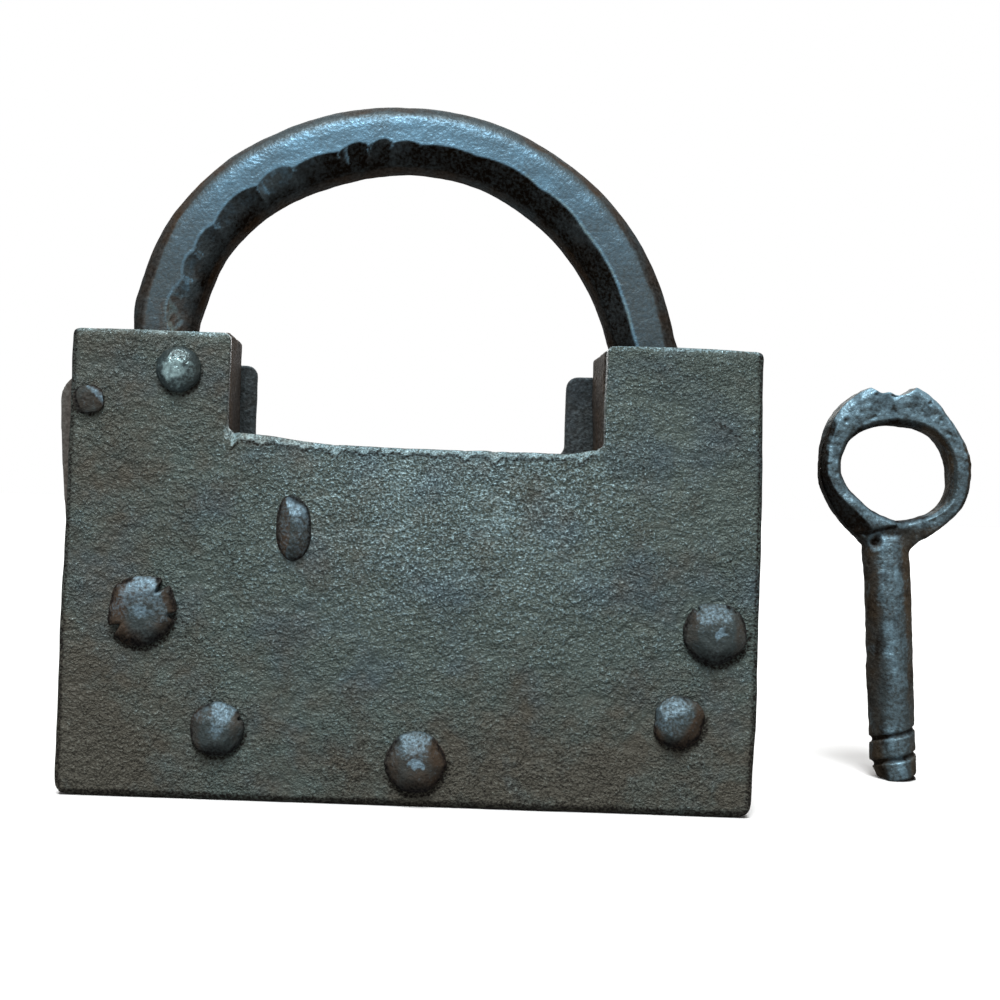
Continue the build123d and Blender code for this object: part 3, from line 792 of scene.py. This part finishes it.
# The outer front edge is worn round, and the inner one is cut back at two slopes.
half_bar, half_depth, rounding = 6.45, 6.5, 4.6
corner = np.stack([-inner - half_bar + rounding, fore - half_depth + rounding], 1)
out = np.maximum(np.hypot(*np.maximum(corner, 0).T), 1e-6)
past = np.maximum(1 - rounding / out, 0) * (corner > 0).all(1) * bar
points[:, [0, 2]] += inward * (corner[:, 0] * past)[:, None]
points[:, 1] += corner[:, 1] * past
wall_in, wall_fore, wall_reach = 0.906, 0.423, 6.3
past = np.maximum(wall_in * inner + wall_fore * fore - wall_reach, 0) * bar
points[:, [0, 2]] -= inward * (wall_in * past)[:, None]
points[:, 1] += wall_fore * past
inner = inner - wall_in * past
fore = fore - wall_fore * past

# Each blow: its place along the bar from the hinge, its length, how far it bites into the front,
# its lean, and how black it is.
blows = (
    (14.5, 11.0, 2.0, 0.2, 0.00),
    (22.5, 7.0, 1.6, 0.8, 0.42),
    (28.5, 8.5, 1.3, 0.9, 0.58),
    (38.5, 13.0, 1.7, 0.6, 0.62),
    (48.0, 9.0, 1.8, 0.9, 0.22),
    (58.0, 12.0, 1.0, 0.4, 0.84),
    (65.5, 7.0, 1.6, 1.1, 0.98),
    (71.0, 5.5, 1.6, 1.3, 0.86),
    (76.5, 7.0, 1.0, 0.9, 0.82),
    (86.0, 14.0, 0.6, 0.5, 1.00),
    (100.0, 16.0, 0.8, 0.4, 0.98),
    (114.0, 14.0, 0.7, 0.5, 0.92),
    (128.0, 16.0, 0.3, 0.4, 0.92),
)
facet_end = 2.25
edge = np.full(len(points), facet_end)
shade = np.full(len(points), 0.85)
border = np.full(len(points), 9.0)
for place, length, bite, lean, black in blows:
    along = run + lean * (0.6 * inner + 0.4 * fore - 4.4) - place
    share = np.clip(1 - (along / (length * 0.56)) ** 2, 0, 1)
    deeper = facet_end - bite * share < edge
    shade = np.where(deeper, black + (0.35 * along / length) * (place < 80), shade)
    border = np.minimum(border, np.abs(facet_end - bite * share - edge) + 9 * (share == 0))
    edge = np.where(deeper, facet_end - bite * share, edge)
bevel_in, bevel_fore = 0.5, 0.866
past = np.maximum(bevel_in * (inner - edge) + bevel_fore * (fore - half_depth), 0) * bar
points[:, [0, 2]] -= inward * (bevel_in * past)[:, None]
points[:, 1] += bevel_fore * past
struck = ease(past, 0.02, 0.15)
ridge = ease(border, 0.32, 0.06) * struck * (run < 86) * ease(fore, 3.4, 4.6)
dents = 0.13 * field(points, 11, 201) + 0.07 * field(points, 4.2, 202) + 0.05 * field(points, 1.8, 203)
points += normals * (dents * bar)[:, None]
neck = 0.9 * ease(points[:, 2], 100, 91) * (inner < 0) * (points[:, 0] < -45) * bar
points[:, 0] += neck * np.clip(-inner / half_bar, 0, 1)
bulge = 1.1 * ease(run, 14, 32) * ease(run, 66, 40) + 0.6 * ease(run, 5, 14) * ease(run, 52, 26)
bulge += 0.6 * ease(-inner, 1, 5) * (ease(run, 84, 60) + ease(run, 104, 122))
bulge -= 0.3 * ease(inner, 2, 6) * ease(run, 92, 110)
points[:, [0, 2]] -= inward * (bulge * bar)[:, None]
points[:, 0] -= (0.75 - 0.04 * inner) * ease(points[:, 2], 91, 97) * ease(points[:, 0], 5, 40)

# The top of the arch is rubbed most and carries a painted highlight. The bevel is black, and the outer edge
# and the hinge end are brown.
crown = ease(points[:, 2], 104, 134)
beyond = inner - edge
bevelled = ease(beyond, -0.2, 0.25) * ease(fore, -6.2, -4.5)
front_facet = ease(-inner, 5.0, 2.6) * (1 - bevelled) * ease(fore, 4.0, 5.5)
edge_line = ease(np.abs(beyond + 0.25), 0.5, 0.1) * ease(fore, 4.6, 5.6)
patch = 0.35 * np.exp(-(((run - 118) / 9) ** 2)) * ease(inner, 5.0, 3.6)
patch *= ease(field(points, 7, 206), -0.4, 0.4)
deep = ease(beyond, 1.8, 5.0)
dark = shade + 0.12 * field(points, 2.4, 207) + (0.95 - shade) * deep
dark *= 0.6 + 0.4 * ease(run, 12, 22)
inner_lip = ease(inner, 5.4, 6.3)
outer_edge = ease(-inner + 0.5 * field(points, 6, 208) - 1.3 * crown, 3.2, 4.4)
facet_wear = front_facet * (0.10 + 0.70 * crown) * (1 + 0.5 * field(points, 5, 209))
line_wear = edge_line * (0.35 + 0.55 * ease(run, 100, 125))
blow_wear = struck * (1 - shade) * (1 - deep) * ease(field(points, 1.5, 210), -0.35, 0.4)
set_in_place(
    shackle,
    points,
    "shackle",
    "shackle",
    shackle_finish,
    wear=facet_wear + line_wear + ridge * 0.6 + 0.45 * blow_wear,
    soot=np.maximum(
        bevelled * dark * (1 - patch) * (1 - 0.9 * ridge) * (1 - 0.3 * inner_lip),
        outer_edge * (0.74 - 0.44 * crown),
    ),
    rust=outer_edge * (1.9 - 1.1 * crown)
    + ease(run, 20, 10) * 0.7
    + bevelled * 0.4
    + inner_lip * 1.2
    + 0.8 * ease(fore, -4.5, -6.0)
    + 1.4 * edge_line * ease(run, 96, 118),
)


# KEYHOLE COVER
# A flap of sheet iron, rolled round its pin at the top and turned out a little at its foot.
# It hangs over the keyhole in the left wall.

cover_finish = old_iron(
    "cover_iron",
    ground=(0.105, 0.092, 0.080),
    brown=(0.092, 0.066, 0.046),
    bright=(0.170, 0.165, 0.150),
    black=(0.020, 0.016, 0.013),
    metal=0.3,
    gloss=0.5,
    grain=0.55,
    depth=0.12,
    rust=0.1,
)
cover, points, normals = even_mesh("keyhole_cover", "forged_keyhole_cover", 0.34)
dents = 0.10 * field(points, 8, 211) + 0.06 * field(points, 3, 212)
points += normals * (dents * ease(np.abs(points[:, 1]), 9.6, 9.0))[:, None]
points[:, 0] += 0.8 * ease(points[:, 2], 74, 46) - 0.25 * ease(points[:, 2], 48, 56)
rims = ease(points[:, 0], -69.2, -70.4) * 0.5 + ease(points[:, 2], 46, 42.4) * 0.4
stain = ease(field(points, 9, 213), -0.1, 0.5) * (points[:, 1] > -8)
set_in_place(
    cover,
    points,
    "keyhole_cover",
    "cover",
    cover_finish,
    wear=rims * ease(points[:, 1], -7.0, -8.6),
    soot=ease(np.abs(points[:, 1]), 8.8, 9.6) * 0.4 + 0.35 * stain,
    rust=0.5 * ease(points[:, 1], -8.5, -6.0),
)


# INNER WORKS
# Collars, bolt, stud, spring, guide and stop: plain forged iron, black from the fire and oil.
# The tails of the guide and the stop are hammered over behind the back plate.

inner_finish = old_iron(
    "inner_iron",
    ground=(0.050, 0.046, 0.042),
    brown=(0.052, 0.036, 0.025),
    bright=(0.150, 0.150, 0.145),
    black=(0.016, 0.014, 0.012),
    metal=0.45,
    gloss=0.45,
    grain=0.5,
    depth=0.06,
)
for node in ("hinge_collars", "bolt", "socket_stud", "bolt_spring"):
    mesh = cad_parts[node].data
    mesh.materials.clear()
    mesh.materials.append(inner_finish)
for seed, node in ((241, "nose_guide"), (251, "stop_post")):
    worked, points, normals = even_mesh(node, "forged_" + node, 0.3, 1)
    hammer_tail(points, seed)
    behind = ease(points[:, 1], 12.4, 12.9)
    set_in_place(
        worked,
        points,
        node,
        "case",
        inner_finish,
        soot=behind * ease(normals[:, 1], 0.8, 0.4) * 0.6,
        rust=behind * 0.5,
    )


# KEY
# A round bar, drawn out at one end and bent to a ring, with its end lapped over and welded down.
# The ring is left thick at the top with a small dip, and a screw groove is filed round the tip.

key_finish = old_iron(
    "key_iron",
    ground=(0.052, 0.064, 0.066),
    brown=(0.056, 0.042, 0.028),
    bright=(0.245, 0.385, 0.465),
    black=(0.009, 0.006, 0.004),
    metal=0.40,
    gloss=0.52,
    grain=0.7,
    depth=0.24,
    rust=-0.05,
    tops=0.6,
    pits=1.3,
    shine=0.08,
    edge=(0.6, 0.55, 0.5),
)
key_lean = math.radians(3.8)
key_foot = np.array([114.6, 39.4, 0])
key_right = np.array([math.cos(key_lean), 0, math.sin(key_lean)])
key_up = np.array([-math.sin(key_lean), 0, math.cos(key_lean)])
key, points, normals = even_mesh("key", "forged_key", 0.25)
right = (points - key_foot) @ key_right
rise = (points - key_foot) @ key_up
fore = key_foot[1] - points[:, 1]
thinned = 0.30 * ease(rise, 40, 57) * ease(rise, 58, 56) * ease(np.abs(right), 6.2, 5.6)
points[:, 1] += np.maximum(fore, 0) * thinned
fore = key_foot[1] - points[:, 1]

# The ring was bent by eye, so its hole and its outline are not quite oval.
ring_x, ring_z = 2.5, 71.8
turn = np.arctan2(rise - ring_z, right - ring_x)
hole = 1 / np.hypot(np.cos(turn) / 12.4, np.sin(turn) / 10.9)
outline = 1 / np.hypot(np.cos(turn) / 17.3, np.sin(turn) / 19.7)
share = np.clip((np.hypot(right - ring_x, rise - ring_z) - hole) / (outline - hole), 0, 1)


def lobe(middle, width=42):
    """1 in one direction from the ring's middle, falling to 0 at a width in degrees to each side."""
    apart = np.abs((turn - math.radians(middle) + math.pi) % (2 * math.pi) - math.pi)
    return ease(apart, math.radians(width), 0)


inner_move = 1.1 * lobe(145) - 0.4 * lobe(230) - 0.5 * lobe(205, 30) + 0.4 * lobe(45) + 1.6 * lobe(312)
inner_move += 0.5 * lobe(180, 30) + 0.8 * lobe(275, 25) + 0.7 * lobe(335, 35) - 0.3 * lobe(70, 45)
outer_move = -0.9 * lobe(222) - 1.3 * lobe(42) + 0.3 * lobe(128, 25) - 1.7 * lobe(296, 44)
beside_shank = np.maximum(ease(rise, 56, 60), ease(np.abs(right), 5.2, 7.0))
move = ((1 - share) * inner_move + share * outer_move) * beside_shank
points += np.outer(np.cos(turn) * move, key_right) + np.outer(np.sin(turn) * move, key_up)
points += np.outer(0.8 * np.exp(-(((right - 1.2) / 1.4) ** 2)) * ease(rise, 84, 88), key_up)

# The shank runs into the ring without a step, so that corner is smoothed over.
ends = np.empty(len(key.data.edges) * 2, np.int32)
key.data.edges.foreach_get("vertices", ends)
ends = np.concatenate([ends.reshape(-1, 2), ends.reshape(-1, 2)[:, ::-1]])
counts = np.bincount(ends[:, 0], minlength=len(points))
blend = ease(rise, 49, 53) * ease(rise, 65, 61) * ease(np.abs(right), 9, 6.5) * ease(fore, -1, 1)
smoothing_rounds = 40
for _ in range(smoothing_rounds):
    mean = np.zeros_like(points)
    for axis in range(3):
        mean[:, axis] = np.bincount(ends[:, 0], points[ends[:, 1], axis], len(points)) / counts
    points += (mean - points) * 0.6 * blend[:, None]
fore = key_foot[1] - points[:, 1]
off_floor = ease(rise, 1.5, 5)
dents = 0.20 * field(points, 9, 221) + 0.13 * field(points, 3.4, 222) + 0.08 * field(points, 1.5, 223)
pocks = np.maximum(field(points, 1.8, 224) - 0.3, 0) * (0.25 + 0.6 * ease(rise, 78, 88))
points += normals * ((dents - pocks * ease(np.abs(normals[:, 1]), 0.6, 0.9)) * off_floor)[:, None]
slimmed = (0.35 * ease(rise, 52, 44) + 1.5 * ease(rise, 4.5, 0)) * ease(right, -2, -5)
points += np.outer(slimmed, key_right)

# The ring's lower left slopes back, its end is lapped over the shank, and there is a pit below the lap.
front_side = ease(fore, 0.8, 2.2)
slope_depth = 3.4
slope_start = 1 - 0.57 * lobe(228, 78)
slope = np.clip((share - slope_start) / (1.02 - slope_start), 0, 1)
slope *= ease(rise, 56, 59) * ease(right, -2.5, -6)
points[:, 1] += slope_depth * slope * front_side
lap_foot = 58.9 + 0.25 * right
lap = ease(rise - lap_foot, -0.15, 0.3) * ease(right, 1.9, 1.3) * ease(rise, 69, 62) * front_side
points[:, 1] -= 0.9 * lap
pit = np.hypot(right + 3.0, (rise - 55.3) * 0.8)
points[:, 1] += 1.0 * ease(pit, 1.6, 0.4) * front_side
# The crease is a painted shadow under the lapped end.
crease = ease(np.abs(rise - lap_foot + 0.4), 0.6, 0.15) * front_side
crease *= ease(right, 2.4, 1.6) * ease(right, -5.4, -4.6)
facing = worked_normals(key, points)
# Lit is a painted highlight on faces towards the light; the ring's top and a stripe down the middle of the
# shank carry more of it, and small rubbed patches and the rim of the pit are wear.
lit = ease(facing @ np.array([-0.05, -0.74, 0.67]), 0.55, 0.97)
# Painted shade inside the top of the ring's hole, on its sloping lower left, and on the ring's faces turned
# away from the light; the right ones are also rusted brown.
ring_inside = ease(share, 0.18, 0.02) * (rise > 60)
ring_left = ease(facing @ np.array([-0.80, -0.25, -0.55]), 0.42, 0.75) * ease(rise, 54, 58) * (share > 0.4)
groove = ease(np.hypot(right, fore), 5.2, 4.7) * ease(rise, 15, 13)
shank = ease(rise, 60, 55)
left_edge = ease(right + 0.4 * field(points, 4, 225), -2.0, -4.6) * shank
right_edge = ease(right + 0.4 * field(points, 4, 226), 1.8, 4.4) * shank
ring_right = ease(facing @ np.array([0.85, -0.30, -0.40]), 0.45, 0.80) * (share > 0.5) * ease(rise, 57, 61)
stain = ease(field(points * [1, 1, 0.5], 2.8, 227), 0.05, 0.6)
rubbed = ease(field(points * [1, 1, 0.5], 2.4, 228), 0.05, 0.6)
low_wall = ring_inside * ease(right, 7, 10)
joint = ease(np.hypot(right - 0.8, (rise - 57.2) * 1.3), 4.2, 1.6) * front_side
on_slope = ease(slope, 0.02, 0.14)
pit_rim = ease(np.abs(pit - 1.5), 0.5, 0.1) * front_side
ring_wear = 0.62 * ease(rise, 66, 86) + 0.4 * ease(share, 0.5, 0.8) * (right < -6)
shank_wear = (0.12 + 0.36 * rubbed) * ease(np.abs(right + 0.3), 2.8, 0.8) * shank * front_side
highlight_and_rubbing = lit * (0.57 - 0.29 * shank + ring_wear) + shank_wear + 0.15 * rubbed + 0.35 * pit_rim
set_in_place(
    key,
    points,
    "key",
    "key",
    key_finish,
    wear=highlight_and_rubbing * (1 - 0.85 * right_edge) * (1 - on_slope),
    soot=ring_inside * 0.85
    - low_wall * 0.6
    + groove * 0.62
    + crease
    + 0.9 * np.maximum(ring_left, on_slope)
    + ease(pit, 1.1, 0.5) * 0.8
    + left_edge * 0.46
    + right_edge * 0.26
    + 0.45 * stain
    + 0.55 * ring_right,
    rust=left_edge
    + right_edge * 2.2
    + groove
    + ease(pit, 1.9, 1.0)
    + low_wall * 1.5
    + 0.9 * joint
    + 1.6 * ring_right,
)


# FLOOR, LIGHT AND CAMERA
# A pale floor and white surroundings, a broad soft light from the front and above, a weak one from behind.
# The camera stands 30 cm before the case, square to it, with a roll of two degrees.

bpy.ops.mesh.primitive_plane_add(size=40, location=(0, 0, -0.0002))
floor = bpy.context.object
floor.name = "floor"
floor_finish = bpy.data.materials.new("pale_floor")
floor_finish.use_nodes = True
floor_shader = floor_finish.node_tree.nodes["Principled BSDF"]
floor_path = floor_finish.node_tree.nodes.new("ShaderNodeLightPath")
unseen_tint, seen_tint = (0.34, 0.34, 0.34, 1), (0.80, 0.78, 0.76, 1)
floor_tint = Wire(floor_path.outputs["Is Camera Ray"]).between(unseen_tint, seen_tint)
floor_finish.node_tree.links.new(floor_tint.socket, floor_shader.inputs["Base Color"])
floor_shader.inputs["Roughness"].default_value = 0.9
floor_shader.inputs["Specular IOR Level"].default_value = 0.1
floor.data.materials.append(floor_finish)

world = bpy.data.worlds.new("studio")
bpy.context.scene.world = world
world.use_nodes = True
surround = world.node_tree.nodes["Background"]
path = world.node_tree.nodes.new("ShaderNodeLightPath")
seen = Wire(path.outputs["Is Camera Ray"]) + Wire(path.outputs["Is Glossy Ray"]) * 0.3
seen = (seen + Wire(path.outputs["Is Transmission Ray"])).clamp()
world.node_tree.links.new((0.26 + seen * 0.74).socket, surround.inputs["Strength"])
surround.inputs["Color"].default_value = (1, 1, 1, 1)

sun = bpy.data.objects.new("window_light", bpy.data.lights.new("window_light", "SUN"))
bpy.context.scene.collection.objects.link(sun)
sun.data.energy = 4.6
sun.data.angle = math.radians(26)
sun.data.color = (0.93, 0.97, 1.0)
sun.rotation_euler = (math.radians(29), 0, math.radians(-8))

fill = bpy.data.objects.new("back_light", bpy.data.lights.new("back_light", "SUN"))
bpy.context.scene.collection.objects.link(fill)
fill.data.energy = 1.9
fill.data.angle = math.radians(50)
fill.rotation_euler = (math.radians(-62), 0, math.radians(3))

eye = bpy.data.objects.new("camera", bpy.data.cameras.new("camera"))
bpy.context.scene.collection.objects.link(eye)
eye.data.sensor_width = 36
eye.data.lens = 52.25
eye.data.shift_x = 0.088
eye.data.shift_y = 0.004
eye.data.clip_start = 0.01
eye.matrix_world = (
    Matrix.Translation((-0.0001, -0.3006, 0.060))
    @ Matrix.Rotation(math.radians(90), 4, "X")
    @ Matrix.Rotation(math.radians(2), 4, "Z")
)
bpy.context.scene.camera = eye
bpy.context.scene.view_settings.view_transform = "Standard"
